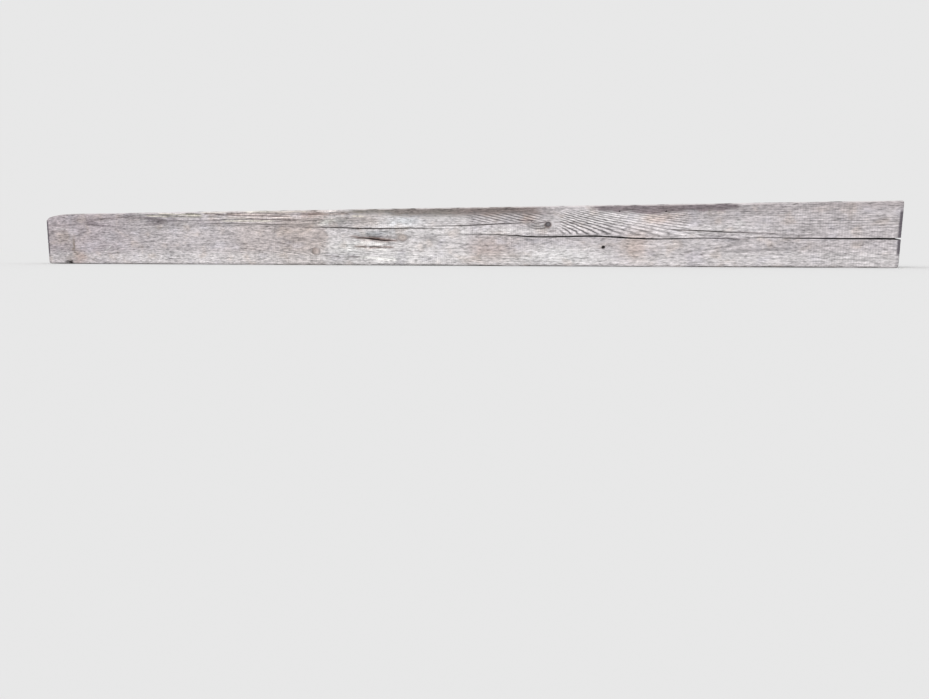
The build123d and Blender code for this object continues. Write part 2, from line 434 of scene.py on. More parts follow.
# %% [markdown]
# A graph is the tree that these values live in. Any node but a Math node is added by its type, its
# settings and its inputs. Settings come first, because they can change which sockets a node has.

# %% A graph class
class Graph:
    """A node tree: of a material, of the world, or of a group."""

    def __init__(self, tree):
        self.tree = tree
        self.tree.nodes.clear()

    def add(self, kind, settings, inputs):
        """Adds a node: its settings first, then a value or a link for each socket. Gives its outputs."""
        node = self.tree.nodes.new(kind)
        for name, setting in settings.items():
            setattr(node, name, setting)
        for name, value in inputs.items():
            if isinstance(value, Value):
                self.tree.links.new(value.socket, node.inputs[name])
            else:
                node.inputs[name].default_value = value
        return [Value(self, socket) for socket in node.outputs]

    def math(self, operation, *values):
        """Adds a Math node, and gives its result."""
        return self.add("ShaderNodeMath", {"operation": operation}, dict(enumerate(values)))[0]


print("a graph can", [name for name, part in vars(Graph).items() if callable(part)])

# %% [markdown]
# A formula that takes arrays and values alike needs functions that tell the two apart. A bell and a smooth
# step make up nearly every mask: a bell for a line or a spot, a step for a side or an edge.

# %% Functions for arrays and values
def sine(v):
    return v.math("SINE") if isinstance(v, Value) else np.sin(v)


def root(v):
    return v.math("SQRT") if isinstance(v, Value) else np.sqrt(v)


def larger(v, floor):
    return v.math("MAXIMUM", floor) if isinstance(v, Value) else np.maximum(v, floor)


def power_of_e(v):
    return v.math("EXPONENT") if isinstance(v, Value) else np.exp(v)


def bell(v):
    """e to the minus square of v."""
    return power_of_e(-(v * v))


def step(v, start, end):
    """A smooth step from 0 at start to 1 at end, for values alone."""
    return v.graph.add("ShaderNodeMapRange", {"interpolation_type": "SMOOTHSTEP"},
                       {"Value": v, "From Min": start, "From Max": end})[0]


print("bell at 0 and 1", float(bell(0.0)), round(float(bell(1.0)), 3))

# %% [markdown]
# ## Rules kept as node groups
# A stain, a scratch and a dark line are each the same few sums with other numbers, and this timber has
# about ninety of them. Written out, they would fill the tree with a thousand nodes. So a rule is worked
# out once, inside a node group, and every mark is then one group node with its numbers on the sockets.

# %% Rules for a band, an oval and a line
def grouped(rule):
    """A rule for values, kept as a node group: each use of it is then one node, whatever it works out."""
    terms = list(inspect.signature(rule).parameters)
    tree = bpy.data.node_groups.new(rule.__name__, "ShaderNodeTree")
    for term in terms:
        tree.interface.new_socket(term, in_out="INPUT", socket_type="NodeSocketFloat")
    tree.interface.new_socket("result", in_out="OUTPUT", socket_type="NodeSocketFloat")
    inside = Graph(tree)
    entries = inside.add("NodeGroupInput", {}, {})
    inside.add("NodeGroupOutput", {}, {"result": rule(*entries[:len(terms)])})

    def use(*values):
        graph = next(value.graph for value in values if isinstance(value, Value))
        return graph.add("ShaderNodeGroup", {"node_tree": tree}, dict(enumerate(values)))[0]
    return use


@grouped
def band(v, first, last, soft):
    """1 between first and last, with soft ends."""
    return step(v, first - soft, first + soft) * (1 - step(v, last - soft, last + soft))


@grouped
def oval(x, z, centre_x, centre_z, wide, high):
    """A soft oval, 1 in its middle."""
    return bell((x - centre_x) / wide) * bell((z - centre_z) / high)


@grouped
def line(x, z, first_x, first_z, last_x, last_z, thick):
    """A straight stroke between two places, as soft as it is thick, that fades out at its ends."""
    span = last_x - first_x
    off = z - first_z - (x - first_x) * (last_z - first_z) / span
    return bell(off / thick) * band(x, first_x, last_x, span * 0.12)


print("groups", [tree.name for tree in bpy.data.node_groups])

# %% [markdown]
# ## Grain round a knot
# Grain parts round a knot, as water parts round a stone. Moving every fibre by hand would take a brush and
# much patience. The stream function of a flow round a cylinder does it in one line: a height is pulled
# towards the knot's height, and the more the nearer it lies.

# %% Grain round a knot
# Place along and up, radius, and how far its pull is stretched along the grain.
knots = [
    (sunken_knot.along, sunken_knot.offset, 0.0088, 2.4),
    (-0.020, 0.088, 0.0095, 2.0),
    (-0.317, 0.046, 0.0110, 1.8),
]


def part_round(x, z, knot):
    """z as the stream sees it: z_k + dz (1 - R^2 / rho^2), with rho never less than R."""
    knot_x, knot_z, radius, stretch = knot
    dx = (x - knot_x) / stretch
    dz = z - knot_z
    rho_squared = larger(dx * dx + dz * dz, radius * radius)
    return knot_z + dz * (1 - radius * radius / rho_squared)


print("10 mm above the sunken knot's middle the grain comes from",
      round(float(part_round(knots[0][0], knots[0][1] + 0.010, knots[0]) - knots[0][1]) * 1000, 1), "mm")

# %% [markdown]
# ## Growth rings
# Rings are circles round the pith, so the distance from it counts them. A wood texture node has such rings
# too, but only round a straight line. A log is thinner at one end and never quite straight, so here the
# count drifts along the timber, and its sine gives early and late wood.

# %% Ring count
ring_width = 0.0026
taper = 0.004


def drift(x):
    """How far the grain has come down at x: it falls faster to the right."""
    return x * (0.0155 + 0.003 * x)


def ring_count(x, y, z, knots_here):
    """How many growth rings lie between the pith and a point.

    It is the distance from a pith that drifts and sways, less the log's taper, over the ring width, plus
    a bulge near the left end."""
    for knot in knots_here:
        z = part_round(x, z, knot)
    up = z - pith_heights[0] + 0.016 + drift(x) + 0.010 * sine(2.3 * x + 0.4)
    across = y - pith_across + 0.008 * sine(3.1 * x + 1.0)
    distance = root(across * across + up * up)
    bulge = bell((x + 1.05) / 0.14) * bell((z - 0.158) / 0.016)
    return (distance - taper * x) / ring_width + 1.8 * bulge


print("rings from pith to front", round(float(ring_count(0.0, -half_width, 0.09, [])), 1))

# %% [markdown]
# ## Weather
# Rain, frost and sun take the soft wood first. The relief could come from a Displace modifier with a
# texture, but that pushes outwards too and knows nothing of the rings. Here it is a depth that only ever
# goes inwards, so the timber keeps its sawn size: slow hollows, ridges of late wood, fine fibres, and long
# edges where splinters have come off. The two torn places on the front are deeper, with steps along the
# grain. Each noise is given the length of its lumps along the timber and round it.

# %% Relief
edge_reach = 0.008


def relief(x, y, z, round_way, edge_distance, knots_here):
    """Depth lost to weather: slow hollows + ridges + fibres + losses at the long edges."""
    rings = ring_count(x, y, z, knots_here)
    slow_hollow = 0.0006 * (1 + noise(x / 0.34, round_way / 0.055, 21))
    ridge = 0.00035 * (1 + np.sin(2 * np.pi * rings)) * (1 + noise(x / 0.3, round_way / 0.03, 22))
    fibre = 0.0007 * np.abs(noise(x / 0.13, round_way / 0.0052, 23))
    edge = np.exp(-(edge_distance / edge_reach) ** 2)
    bites = smooth(noise(x / 0.055, round_way / 0.06, 24) * 2 - 0.5)
    splinters = smooth(noise(x / 0.018, round_way / 0.05, 25) * 2 - 0.7)
    loss = edge * (0.0003 + 0.0006 * bites + 0.0010 * splinters)
    return slow_hollow + ridge + fibre + loss


def torn(x, z):
    """Depth of the torn places of the front: a soft oval of long steps, deepest in its middle."""
    inside = bell((x - torn_place[0]) / 0.075) * bell((z - torn_place[1]) / 0.020)
    return 0.0032 * inside * smooth(noise(x / 0.06, z / 0.0042, 26) + 0.45)


def seat_print(x, y):
    """Depth of the base plates' prints: rounded rectangles with worn, sloping walls."""
    total = 0 * x
    for seat in seat_places:
        beyond_x = np.abs(x - seat) - seat_length / 2 + seat_corner
        beyond_y = np.abs(y) - seat_width / 2 + seat_corner
        outside = np.hypot(np.maximum(beyond_x, 0), np.maximum(beyond_y, 0)) - seat_corner
        total = total + seat_depth * smooth(0.5 - outside / 0.005)
    return total


print("print at the seat's middle", float(seat_print(np.array(seat_places[0]), np.array(0.0))) * 1000, "mm")

# %% [markdown]
# ## Round corners
# A Bevel modifier would round the corners evenly. A worn corner is rounder where the log was thin, so its
# radius changes along the timber, and the outline is worked out instead. Near a long edge the columns
# leave the flat and follow the corner's arc, and what is sunk there leans inwards.

# %% Wrap a face round its corners
def corner_slide(distance, radius):
    """Along and inward place of a column near a corner, and the lean of the surface there.

    The corner's arc has its centre at radius - allowance from both faces. It cuts the flat where the
    cosine of its angle is (radius - allowance) / radius, and reaches 45 degrees at the corner itself."""
    centre = radius - log_allowance
    first_angle = np.arccos(centre / radius)
    flat_start = centre - radius * np.sin(first_angle)
    share = np.clip(1 - distance / flat_start, 0, 1)
    angle = first_angle + share * (np.pi / 4 - first_angle)
    along = np.where(share > 0, centre - radius * np.sin(angle), distance)
    inward = np.where(share > 0, centre - radius * np.cos(angle), 0)
    lean = np.pi / 4 * (1 - np.clip(distance / (flat_start + 0.012), 0, 1)) ** 2
    return along, inward, lean


def wrap(s, span, first_radius, last_radius, depth):
    """Place along a face and depth below it, for columns at s between two worn corners."""
    start_along, start_in, start_lean = corner_slide(s, first_radius[:, None])
    end_along, end_in, end_lean = corner_slide(span - s, last_radius[:, None])
    along = np.where(s < span / 2, start_along, span - end_along)
    inward = np.where(s < span / 2, start_in, end_in)
    lean = np.where(s < span / 2, start_lean, -end_lean)
    return along + depth * np.sin(lean), inward + depth * np.cos(lean)


foot_radius, front_top_radius, back_top_radius, back_foot_radius = corner_radii(stations)
print("front top corner", round(float(front_top_radius[0]) * 1000, 1), "mm round at the left end")

# %% [markdown]
# ## Faces of the timber
# Each face's columns now become points in space, one face after another round the timber: half the foot,
# front, top, back and the other half of the foot. A drying crack opens towards the pith, so the roots lean
# that way. The last column of a face is left out, because the next face starts with it.

# %% Points of the faces
def towards_pith(s, sunk, pith_place, pith_distance):
    """A crack's root moves towards the pith, by its depth over the pith's distance."""
    return s + sunk * (pith_place - s) / pith_distance


def pith_line(x):
    """The pith's height: a straight line between the two ends."""
    return np.interp(x, [-half_length, half_length], pith_heights)


back_way = 1.5 * width + 2 * height


def front_points(x, s, sunk):
    weather = relief(x, -half_width + 0 * s, s, half_width + s, np.minimum(s, height - s), knots) + torn(x, s)
    spot = towards_pith(s, sunk, pith_line(x), half_width)
    along, inward = wrap(spot, height, foot_radius, front_top_radius, weather + sunk)
    return x, -half_width + inward, along, sunk


def top_points(x, s, sunk):
    weather = relief(x, s, height + 0 * s, width + height + s, half_width - np.abs(s), []) + seat_print(x, s)
    spot = towards_pith(s, sunk, pith_across, height / 2) + half_width
    along, inward = wrap(spot, width, front_top_radius, back_top_radius, weather + sunk)
    return x, along - half_width, height - inward, sunk


def back_points(x, s, sunk):
    weather = relief(x, half_width + 0 * s, s, back_way - s, np.minimum(s, height - s), [])
    spot = towards_pith(s, sunk, pith_line(x), half_width)
    along, inward = wrap(spot, height, back_foot_radius, back_top_radius, weather + sunk)
    return x, half_width - inward, along, sunk


def foot_points(x, s, sunk, side):
    """Half of the foot, s being the way from its middle. The side is -1 in front and 1 at the back."""
    way_start, radius = (0, foot_radius) if side < 0 else (back_way, back_foot_radius)
    weather = relief(x, side * s, 0 * s, way_start + (half_width - s), half_width - s, [])
    weather = weather * smooth((s - 0.02) / 0.03)
    along, inward = wrap(half_width - s, width, radius, foot_radius, weather)
    return x, side * (half_width - along), inward, sunk


def backwards(x, s, sunk):
    """The same columns in the opposite order."""
    return x, s[:, ::-1], sunk[:, ::-1]


grids = {name: (along_timber[name], *faces[name]) for name in faces}
face_sets = [foot_points(*grids["foot_front"], -1), front_points(*grids["front"]), top_points(*grids["top"]),
             back_points(*backwards(*grids["back"])), foot_points(*backwards(*grids["foot_back"]), 1)]
x, y, z, sunk = [np.concatenate([part[:, :-1] for part in parts], axis=1) for parts in zip(*face_sets)]
print("grid", x.shape, "lowest", round(float(z.min()) * 1000, 2), "mm")

# %% [markdown]
# ## Worn ends, shoulder and chip
# These three wear the timber as a whole, so they move the finished grid. Sculpting would do it too, but a
# formula stays the same when a size of the CAD model changes.

# %% Wear the ends and the chip into the grid
def wear_end(x, y, z):
    """Near an end the section shrinks by w - root(w^2 - (w - e)^2), e being the way to the end."""
    to_end = half_length - np.abs(x)
    left = np.clip(end_wear - to_end, 0, end_wear)
    inset = end_wear - np.sqrt(end_wear ** 2 - left ** 2)
    middle = height / 2
    return y * (1 - inset / half_width), middle + (z - middle) * (1 - inset / middle)


def drop_shoulder(x, y, z):
    """The top sinks towards the left end along an arc, and the upper third of the section with it."""
    run_in = np.clip(shoulder_run - (x + half_length), 0, shoulder_run)
    drop = shoulder_front + (shoulder_back - shoulder_front) * (y + half_width) / width
    radius = (shoulder_run ** 2 + drop ** 2) / (2 * drop)
    sink = radius - np.sqrt(radius ** 2 - run_in ** 2)
    return z - sink * np.clip((z - height * 2 / 3) / (height / 3), 0, 1)


def bite_chip(x, y, z):
    """Pushes what is nearer to the lower front edge than the chip's depth inwards, at 45 degrees."""
    radius = (chip_length ** 2 / 4 + chip_bite ** 2) / (2 * chip_bite)
    away = np.clip(np.abs(x - chip_place), 0, chip_length / 2)
    bite = chip_bite - (radius - np.sqrt(radius ** 2 - away ** 2))
    bite = bite + 0.002 * noise(x / 0.006, z / 0.006, 31) * (away < chip_length / 2.4)
    lacking = np.maximum(0, bite - (y + half_width + z) / math.sqrt(2))
    return y + lacking / math.sqrt(2), z + lacking / math.sqrt(2)


y, z = wear_end(x, y, z)
z = drop_shoulder(x, y, z)
y, z = bite_chip(x, y, z)
print("section at the left end", round(float(z[0].max()) * 1000, 1), "mm high")

# %% [markdown]
# ## The cut ends
# Drying pulls an end open in a star of checks round the pith. A plain cap would be one large face with no
# points to open. So each end is closed by rings that shrink from the outline to the pith, and each check
# takes four columns again: lip, root, root, lip.

# %% Checks of an end
ring_shares = np.array([0.985, 0.955, 0.91, 0.86, 0.80, 0.73, 0.66, 0.58, 0.50, 0.42, 0.34, 0.26, 0.18, 0.10])
check_count = 6
check_start, check_mouth, check_depth = 0.005, 0.0036, 0.036


def check_turns(end):
    """Direction and reach of each check but the one that the top crack takes.

    The direction is 90 + end (60 i + 14 sin 2.3 i) degrees."""
    i = np.arange(1, check_count)
    turns = np.radians(90 + end * (60 * i + 14 * np.sin(2.3 * i)))
    reaches = 0.66 + 0.14 * np.cos(1.7 * i + end)
    return zip(turns, reaches)


def check_columns(end, out):
    """The place on the outline that each column points at, ring by ring, and how deep it sinks.

    Both a check's half width and its depth swell as the root of a sine from the pith to its tip."""
    count = len(out)
    slots = np.repeat(np.arange(count)[None, :], len(ring_shares), axis=0).astype(float)
    depth = np.zeros_like(slots)
    for turn, reach in check_turns(end):
        towards = np.array([math.cos(turn), math.sin(turn)])
        nearest = int(np.argmax(out @ towards / np.linalg.norm(out, axis=1)))
        way = np.linalg.norm(out[nearest])
        chord = out[(nearest + 1) % count] - out[nearest - 1]
        across = abs(chord[0] * towards[1] - chord[1] * towards[0]) / 2
        t = (ring_shares * way - check_start) / (reach * way - check_start)
        opened = (t > 0) & (t < 1)
        swell = np.sqrt(np.sin(np.pi * np.where(opened, t, 0)))
        half = np.where(opened, check_mouth / 2 * swell / (ring_shares * across), 1.5)
        half = np.minimum(half, 1.5)
        for k, share in enumerate(lane_shares):
            column = (nearest - 1 + k) % count
            slots[:, column] = nearest + 0.5 + share * half
            depth[:, column] = check_depth * swell if abs(share) < 1 else 0
    return slots, depth


print("directions of the right end's checks", [round(math.degrees(turn)) for turn, _ in check_turns(1)])

# %% [markdown]
# The rings of an end take the outline's own columns, so cap and sides share their seam point for point. A
# cut end is rougher than a side, but its relief fades out at the outline, where the seam must stay closed.

# %% Close the ends
def end_relief(end, points, centre):
    """Depth lost on a cut end: rings + slow lumps + fine pits, fading to nothing at the outline."""
    rings = np.linalg.norm(points - centre, axis=2) / ring_width
    slow_lumps = noise(points[..., 0] / 0.020, points[..., 1] / 0.020, 41 + end)
    fine_pits = noise(points[..., 0] / 0.006, points[..., 1] / 0.006, 43 + end)
    rough = 0.0005 * (1 + np.sin(np.pi * rings)) + 0.0010 * (1 + slow_lumps) + 0.0012 * np.abs(fine_pits)
    return rough * smooth((1 - ring_shares) / 0.05)[:, None]


def close_end(end, outline):
    """Rings of points from the outline to the pith, their checks' depth, their relief, and the pith."""
    centre = np.array([pith_across, pith_heights[0 if end < 0 else 1]])
    out = outline - centre
    slots, depth = check_columns(end, out)
    whole = np.floor(slots).astype(int)
    part = (slots - whole)[..., None]
    on_outline = out[whole % len(out)] * (1 - part) + out[(whole + 1) % len(out)] * part
    points = centre + ring_shares[:, None, None] * on_outline
    return points, depth, end_relief(end, points, centre), centre


caps = {end: close_end(end, np.stack([y[row], z[row]], axis=1)) for end, row in ((-1, 0), (1, -1))}
print("end rings", len(ring_shares), "columns", x.shape[1])

# %% [markdown]
# ## Build the mesh
# The grid, the rings of both ends and a last point at each pith go into one list of points. Neighbours in
# the grid become quads, and the innermost ring and the pith become a fan of triangles. Two numbers ride on
# each point for the material: how deep it lies in a crack or hole, and whether it belongs to a cut end.

# %% Number the points and the faces
def strip(first, second):
    """Quads between two rings of point numbers, closed round."""
    return np.stack([first, second, np.roll(second, -1, axis=-1), np.roll(first, -1, axis=-1)], axis=-1)


full_dark = 0.010
pole_depth = 0.003
numbers = np.arange(x.size).reshape(x.shape)
point_sets = [np.stack([x, y, z], axis=-1).reshape(-1, 3)]
hollow_sets = [np.clip(sunk / full_dark, 0, 1).reshape(-1)]
end_sets = [np.zeros(x.size)]
quad_sets = [strip(numbers[:-1], numbers[1:]).reshape(-1, 4)]
fan_sets = []
filled = x.size
for end, outline in ((-1, numbers[0]), (1, numbers[-1])):
    points, depth, rough, centre = caps[end]
    cap_x = end * (half_length - depth - rough)
    point_sets += [np.concatenate([cap_x[..., None], points], axis=-1).reshape(-1, 3),
                   np.array([[end * (half_length - pole_depth), *centre]])]
    hollow_sets += [np.clip(depth / full_dark, 0, 1).reshape(-1), np.ones(1)]
    end_sets.append(np.ones(depth.size + 1))
    rings = np.concatenate([outline[None, :], filled + np.arange(depth.size).reshape(depth.shape)])
    outer, inner = (rings[1:], rings[:-1]) if end < 0 else (rings[:-1], rings[1:])
    quad_sets.append(strip(outer, inner).reshape(-1, 4))
    last, following = rings[-1], np.roll(rings[-1], -1)
    first, second = (last, following) if end < 0 else (following, last)
    fan_sets.append(np.stack([first, second, np.full(len(last), filled + depth.size)], axis=-1))
    filled += depth.size + 1
vertices, quads, triangles = [np.concatenate(parts) for parts in (point_sets, quad_sets, fan_sets)]
print("points", len(vertices), "triangles", 2 * len(quads) + len(triangles))

# %% [markdown]
# Blender takes whole arrays through foreach_set, which is far faster than one face at a time. The volume
# that the faces enclose is then added up. It comes out positive only when the mesh is closed and its faces
# point outwards, so it is a quick test of both.

# %% One closed mesh
def make_mesh(name, vertices, quads, triangles):
    """A mesh from arrays of points, four-sided and three-sided faces."""
    mesh = bpy.data.meshes.new(name)
    loops = np.concatenate([quads.reshape(-1), triangles.reshape(-1)])
    sizes = np.concatenate([np.full(len(quads), 4), np.full(len(triangles), 3)])
    mesh.vertices.add(len(vertices))
    mesh.vertices.foreach_set("co", vertices.reshape(-1))
    mesh.loops.add(len(loops))
    mesh.loops.foreach_set("vertex_index", loops)
    mesh.polygons.add(len(sizes))
    mesh.polygons.foreach_set("loop_start", np.concatenate([[0], np.cumsum(sizes)[:-1]]))
    mesh.update(calc_edges=True)
    mesh.validate()
    return mesh


def enclosed(faces):
    """A sixth of the sum of (a x b) . c over triangles a b c."""
    a, b, c = [vertices[faces[:, k]] for k in range(3)]
    return float((np.cross(a, b) * c).sum() / 6)


timber_mesh = make_mesh("timber", vertices, quads, triangles)
volume = enclosed(triangles) + enclosed(quads[:, [0, 1, 2]]) + enclosed(quads[:, [0, 2, 3]])
print("volume", round(volume, 4), "cubic metres")

# %% [markdown]
# The two numbers become attributes of the mesh. Smooth shading hides the grid, and edges over 48 degrees,
# such as the lips of cracks and holes, stay sharp.

# %% Attributes and the object
for name, parts in (("hollow", hollow_sets), ("cut_end", end_sets)):
    attribute = timber_mesh.attributes.new(name, "FLOAT", "POINT")
    attribute.data.foreach_set("value", np.concatenate(parts).astype(np.float32))
timber_mesh.shade_smooth()
timber_mesh.set_sharp_from_angle(angle=math.radians(48))
timber = bpy.data.objects.new("weathered_timber", timber_mesh)
bpy.context.scene.collection.objects.link(timber)
print("attributes", [attribute.name for attribute in timber_mesh.attributes])

# %% [markdown]
# ## The material's space
# The colour is worked out at each point of the surface from its place in the object, so it runs through
# the timber like the wood itself and shows no seam at a corner. Two helpers lay one colour over another
# and darken a colour. Both are Mix nodes, because a Math node would turn a colour grey.

# %% Places and colours
def srgb(red, green, blue):
    """A colour as one reads it from a screen, 0 to 255, turned into the linear light that nodes use."""
    parts = np.array([red, green, blue]) / 255
    linear = np.where(parts <= 0.04045, parts / 12.92, ((parts + 0.055) / 1.055) ** 2.4)
    return (*[float(part) for part in linear], 1.0)


wood_material = bpy.data.materials.new("weathered_wood")
wood_material.use_nodes = True
wood = Graph(wood_material.node_tree)
place = wood.add("ShaderNodeTexCoord", {}, {})[3]
px, py, pz = wood.add("ShaderNodeSeparateXYZ", {}, {"Vector": place})
mix_factor, mix_under, mix_over, mix_result = 0, 6, 7, 2


def paint(colour, factor, over):
    """A colour with another one laid over it by a factor."""
    return wood.add("ShaderNodeMix", {"data_type": "RGBA"},
                    {mix_factor: factor, mix_under: colour, mix_over: over})[mix_result]


def shade(colour, factor):
    """A colour times a number: a mix from black to it, whose factor may pass 1."""
    return wood.add("ShaderNodeMix", {"data_type": "RGBA", "clamp_factor": False},
                    {mix_factor: factor, mix_under: (0, 0, 0, 1), mix_over: colour})[mix_result]


print("coordinates", place.socket.name, "middle grey in linear light", round(srgb(128, 128, 128)[0], 3))

# %% [markdown]
# Noise that is squeezed across the grain and stretched along it becomes fibres. A Mapping node does the
# squeezing: its scale says how many lumps there are to the metre along each axis. The first noise, a blot
# of about 8 cm, breaks up edges all over the timber.

# %% Noise of the wood
def texture(space, lumps, detail=2.0, roughness=0.5, shift=0.0):
    """Noise with a mean of 0, with so many lumps to the metre along each axis of a space."""
    vector = wood.add("ShaderNodeMapping", {},
                      {"Vector": space, "Location": (shift, shift, shift), "Scale": lumps})[0]
    heights = wood.add("ShaderNodeTexNoise", {"noise_dimensions": "3D"},
                       {"Vector": vector, "Scale": 1.0, "Detail": detail, "Roughness": roughness})[0]
    return heights - 0.5


blot = texture(place, (13, 13, 19), 4.0, 0.62)
print("nodes so far", len(wood.tree.nodes))

# %% [markdown]
# ## Which side is which
# The sides get different colours. A bevelled border between them would show as a line, so each side is a
# soft mask instead, worked out from the place alone. The two numbers that ride on the mesh are read here
# too.

# %% Masks of the sides
on_front = step(-py, half_width - 0.024, half_width - 0.006)
on_back = step(py, half_width - 0.024, half_width - 0.006)
on_top = step(pz, height - 0.022, height - 0.007) * (1 - on_front) * (1 - on_back)
on_foot = (1 - step(pz, 0.001, 0.009)) * (1 - on_front) * (1 - on_back)
in_hollow = wood.add("ShaderNodeAttribute", {"attribute_name": "hollow"}, {})[2]
cut_end = wood.add("ShaderNodeAttribute", {"attribute_name": "cut_end"}, {})[2]
print("nodes so far", len(wood.tree.nodes))

# %% [markdown]
# ## Grain
# Weathered softwood shows lines on three scales: growth rings, fleck-like bundles of fibres, and fibres as
# thin as hair. Growth rings come from the formula above. The others are noise in the grain's own
# coordinates, in which the height has the knots taken out, so the fibres part round them.

# %% Rings and fibres
grain_z = pz
for knot in knots:
    grain_z = part_round(px, grain_z, knot)
grain_z = pz + (grain_z - pz) * on_front
grain = wood.add("ShaderNodeCombineXYZ", {}, {0: px, 1: py, 2: grain_z})[0]
slow = texture(grain, (1.3, 8, 11), 1.0)
rings = ring_count(px, py, grain_z, []) + slow * 2.6
late = (sine(rings * math.tau) * 0.5 + 0.5) ** 2.2
lined = step(texture(grain, (2.3, 26, 30), shift=31), -0.10, 0.16)
fibre = texture(grain, (9, 300, 330), 3.0, 0.62)
bundle = texture(grain, (26, 160, 190), 3.0, 0.60)
fleck = texture(grain, (70, 220, 250), 2.0, 0.62)
dash = step(texture(grain, (62, 170, 210), 1.0, shift=3), 0.10, 0.20)
hair = texture(grain, (30, 900, 1100), 1.0, shift=7)
print("nodes so far", len(wood.tree.nodes))

# %% [markdown]
# ## The fan round the knot
# Behind the sunken knot the saw has cut the rings at a low angle, so they fan out right of it. Their feet
# stand on the long crack, each further from the knot than the last, and above it they lean back and run
# nearly level. Left of the knot, under the top edge, they slant the other way. Bending the ring formula
# this far would spoil the other sides, so both places have a count of their own, kept to them by a mask.

# %% Fan and comb
fan_spacing = 0.0052
comb_spacing = 0.0076
fan_start = 0.465


def fan_count(x, z):
    """The root of (u^2 + c^2) over the spacing, u being the height above the crack, plus a part that
    falls off with the distance from the knot."""
    up = z - 0.0980 + 0.022 * x
    beyond = x - fan_start
    feet = 6.3 - 6.3 * power_of_e(beyond / -0.150) + 13.0 * beyond
    return root(up * up + 0.042 ** 2) / fan_spacing + feet


above_crack = pz + 0.020 * px
fan_here = band(px, 0.474, 0.84, 0.02) * step(above_crack, 0.101, 0.110) * on_front
fan_here = fan_here * (1 - step(above_crack, 0.162, 0.182))
fan_wave = sine(fan_count(px, pz) * math.tau + slow * 4.0 + texture(place, (50, 0, 110)) * 4.0)
fan = (fan_wave * 0.5 + 0.5) ** 1.8 * fan_here * (1.15 - 0.45 * step(px, 0.56, 0.70))
comb_here = band(px, 0.20, 0.42, 0.03) * band(pz, 0.133, 0.158, 0.005) * on_front
comb_wave = sine((pz + 0.24 * px) * (math.tau / comb_spacing) + slow * 5.0)
fan = fan + (comb_wave * 0.5 + 0.5) ** 1.6 * comb_here * 0.9
print("fan lines cross the crack from", round(fan_start, 3), "m, nodes so far", len(wood.tree.nodes))

# %% [markdown]
# ## Short checks and saw marks
# Sun opens hair-thin checks, short and scattered. They are where a noise crosses zero, kept to some places
# by a second one. The saw has left faint upright lines, which a sine along the timber gives.

# %% Checks and saw marks
saw_pitch = 0.0067
check_line = texture(grain, (4.6, 90, 120), shift=11)
check_line = 1 - step(check_line.math("ABSOLUTE"), 0.000, 0.011)
checks = check_line * step(texture(grain, (6, 30, 30), 1.0, shift=13), 0.02, 0.14)
saw_here = step(texture(place, (5, 3, 12), 1.0, shift=17), -0.06, 0.12)
saw_mark = sine(px * (math.tau / saw_pitch) + pz * 9 + texture(place, (14, 0, 9)) * 9) * saw_here
print("nodes so far", len(wood.tree.nodes))

# %% [markdown]
# ## Colour of the photographed side
# The silver of old wood is never one grey. This side is nearly white right of its middle, tan left of
# that, mauve at its left end and pale along its foot. Each zone is a soft patch with a named colour. Its
# edge is broken up by the grain's noise, which shifts the place at which the patch is looked up.

# %% Large zones of the front
silver = srgb(193, 187, 189)
mauve = srgb(182, 173, 177)
tan = srgb(185, 173, 168)
brown_pink = srgb(184, 165, 156)
near_white = srgb(222, 219, 219)
dark_line = srgb(112, 102, 103)

ragged_x = px + blot * 0.11
ragged_z = pz + bundle * 0.020 + blot * 0.030
front = paint(silver, 1 - step(ragged_x, -1.16, -0.92), mauve)
front = paint(front, band(ragged_x, -0.62, -0.287, 0.060) * 0.38, tan)
front = paint(front, band(ragged_x, -0.44, -0.287, 0.012) * 0.50, tan)
front = paint(front, band(ragged_x, -0.285, 0.19, 0.012) * 0.42, near_white)
front = paint(front, (1 - step(ragged_z, 0.026, 0.058)) * 0.50, near_white)
print("nodes so far", len(wood.tree.nodes))

# %% [markdown]
# The smaller patches are rows of numbers, laid one after another. The renderer works out all it can at
# once, and holds the unfinished values in a store of only 255 numbers. Ninety marks side by side would
# overflow it, and the timber would turn black. So each mark moves the place of the next by at most a tenth
# of a millimetre: too little to see, but now the next one has to wait.

# %% Patches of the front
def lay_marks(colour, rule, x, z, marks):
    """Lays marks over a colour one after another. Gives the colour and the place after the last mark.

    Each mark is the numbers of its rule, then a strength and a colour."""
    for *numbers, strength, mark_colour in marks:
        mark = rule(x, z, *numbers)
        colour = paint(colour, mark * strength, mark_colour)
        x = mark.math("MULTIPLY_ADD", 0.0001, x)
        z = mark.math("MULTIPLY_ADD", 0.0001, z)
    return colour, x, z


